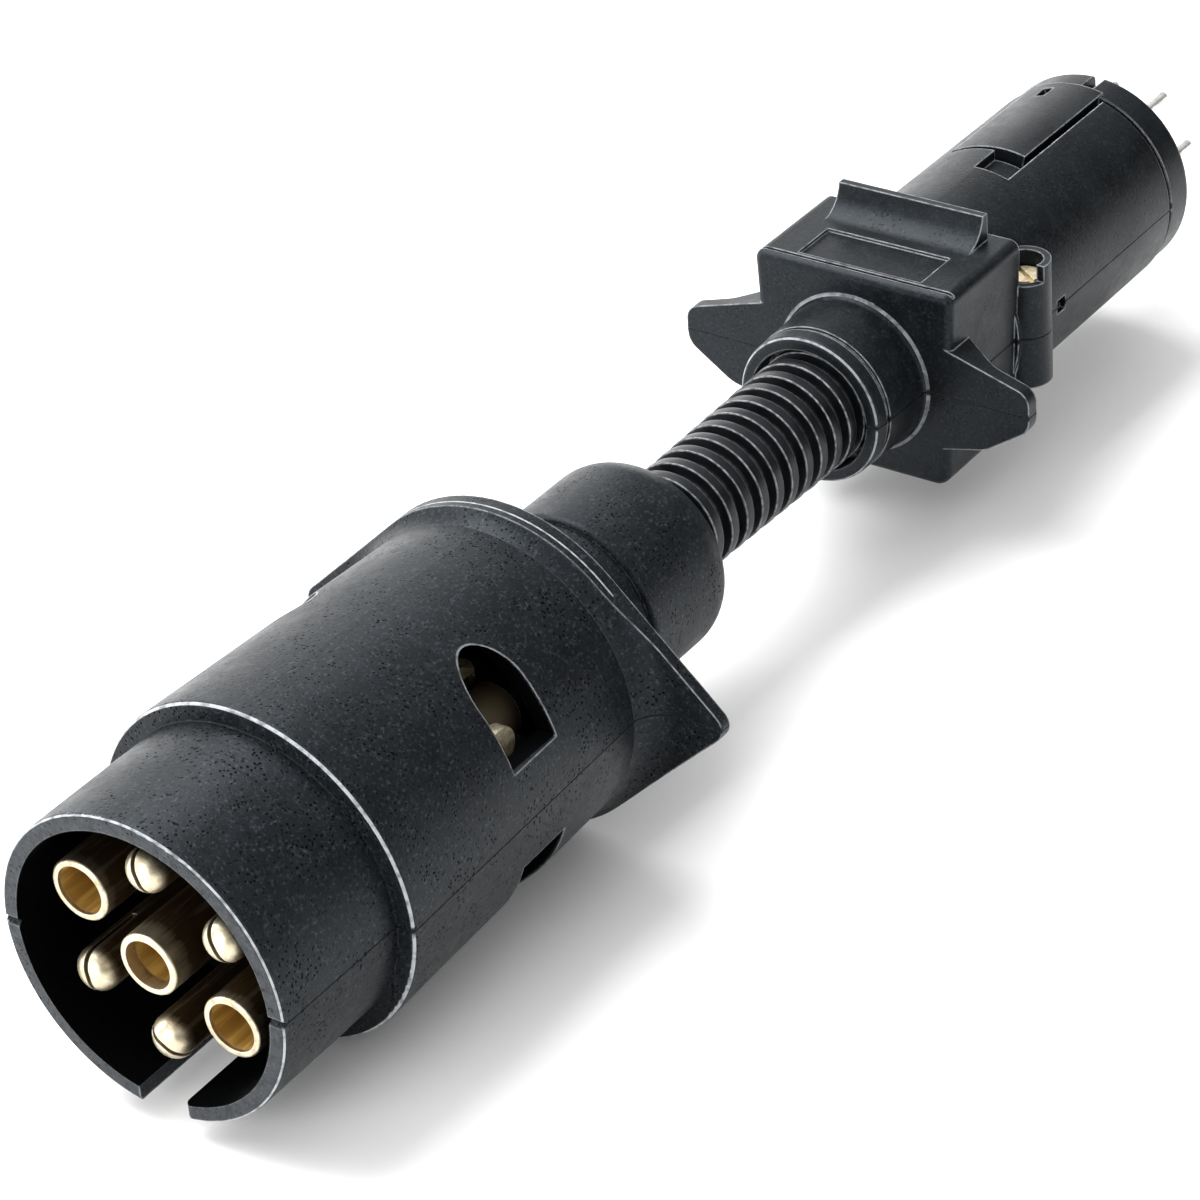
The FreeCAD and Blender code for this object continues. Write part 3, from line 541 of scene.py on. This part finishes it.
def wire_path(x0, x1, index):
    """Centreline of one wire: spread at both plugs, bundled through the conduit."""
    bundle = ring_point(0, BUNDLE_R, WIRE_ANGLES[index])
    front = ring_point(0, TERMINAL_R, WIRE_ANGLES[index])
    rear = ring_point(0, THIN_PITCH_R, THIN_ANGLES[index])
    count = max(6, int(x1 - x0))
    points = []
    for i in range(count + 1):
        x = x0 + (x1 - x0) * i / count
        at = eased(front, bundle, (x - GATHER_X) / GATHER_LEN)
        at = eased(at, rear, (x - SPREAD_X) / SPREAD_LEN)
        points.append(Vector((x, at.y, at.z)))
    return points


def build_wires(material):
    planes = seams()
    planes[0] = WIRE_START_X
    planes[-1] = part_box("wires_5")[1].x / MM
    for number, (x0, x1) in enumerate(zip(planes, planes[1:]), 1):
        bm = bmesh.new()
        centre_start = CENTRE_WIRE_START_X if number == 1 else x0
        length = x1 - centre_start
        count = max(6, int(length))
        straight = [Vector((centre_start + length * i / count, 0, 0)) for i in range(count + 1)]
        tube_into(bm, straight, WIRE_R)
        for index in range(len(WIRE_ANGLES)):
            tube_into(bm, wire_path(x0, x1, index), WIRE_R)
        bmesh.ops.recalc_face_normals(bm, faces=bm.faces)
        mesh = bpy.data.meshes.new("wire_bundle_%d" % number)
        bm.to_mesh(mesh)
        bm.free()
        piece = new_piece("wire_bundle_%d" % number, mesh, material)
        bent_piece(piece, number, "wires")


# ---------------------------------------------------------------- studio
def pale_floor():
    s = Surface("pale_floor")
    drift = s.noise(3, 2.0)
    colour = s.blend(drift, (0.90, 0.90, 0.90, 1), (0.93, 0.93, 0.93, 1))
    material = s.finish(colour, 0.75, s.bump(s.noise(300, 2.0), 0.02 * MM), specular=0.2)
    bm = bmesh.new()
    bmesh.ops.create_grid(bm, x_segments=8, y_segments=8, size=3.0)
    mesh = bpy.data.meshes.new("floor")
    bm.to_mesh(mesh)
    bm.free()
    floor = new_piece("floor", mesh, material)
    floor.location = (CAD_BOX[0].x + 0.12, 0, CAD_BOX[0].z - 0.0002)


def soft_light(name, place, target, size, watts):
    light = bpy.data.lights.new(name, "AREA")
    light.shape = "RECTANGLE"
    light.size, light.size_y = size
    light.energy = watts
    lamp = bpy.data.objects.new(name, light)
    lamp.location = place
    lamp.rotation_euler = (Vector(target) - Vector(place)).to_track_quat("-Z", "Y").to_euler()
    bpy.context.scene.collection.objects.link(lamp)


def sky():
    """White surroundings, bright overhead and falling off to nearly black at the horizon."""
    world = bpy.data.worlds.new("studio")
    bpy.context.scene.world = world
    world.use_nodes = True
    tree = world.node_tree
    direction = tree.nodes.new("ShaderNodeTexCoord")
    split = tree.nodes.new("ShaderNodeSeparateXYZ")
    fall = tree.nodes.new("ShaderNodeMapRange")
    tree.links.new(direction.outputs["Generated"], split.inputs["Vector"])
    tree.links.new(split.outputs["Z"], fall.inputs["Value"])
    fall.inputs["From Min"].default_value = 0.35
    fall.inputs["From Max"].default_value = 0.95
    fall.inputs["To Min"].default_value = 0.06
    fall.inputs["To Max"].default_value = 1.35
    background = tree.nodes["Background"]
    background.inputs["Color"].default_value = (1, 1, 1, 1)
    tree.links.new(fall.outputs["Result"], background.inputs["Strength"])


def studio():
    sky()
    middle = (0.12, 0, 0)
    soft_light("key", (0.15, 0.35, 0.65), middle, (0.8, 0.5), 9)
    soft_light("back_left", (0.75, 0.80, 0.22), middle, (1.6, 0.5), 6)
    soft_light("left_rim", (-0.35, 0.75, 0.30), middle, (0.25, 0.8), 5)
    soft_light("right_fill", (0.1, -0.9, 0.3), middle, (0.5, 0.4), 1.6)
    soft_light("front_fill", (-0.50, 0.05, 0.16), (0, 0, 0), (0.3, 0.3), 2.4)


def camera():
    lens = bpy.data.cameras.new("camera")
    lens.lens = CAMERA_LENS
    lens.clip_start = 0.01
    item = bpy.data.objects.new("camera", lens)
    aim = (LOOK_AT - CAMERA_AT).to_track_quat("-Z", "Y").to_matrix().to_4x4()
    item.matrix_world = Matrix.Translation(CAMERA_AT) @ aim @ Matrix.Rotation(CAMERA_ROLL, 4, "Z")
    bpy.context.scene.collection.objects.link(item)
    bpy.context.scene.camera = item
    bpy.context.scene.view_settings.view_transform = "Standard"


finishes = paint_cad_nodes()
build_conduit(finishes["conduit_rubber"])
build_wires(finishes["wire_insulation"])
pale_floor()
studio()
camera()
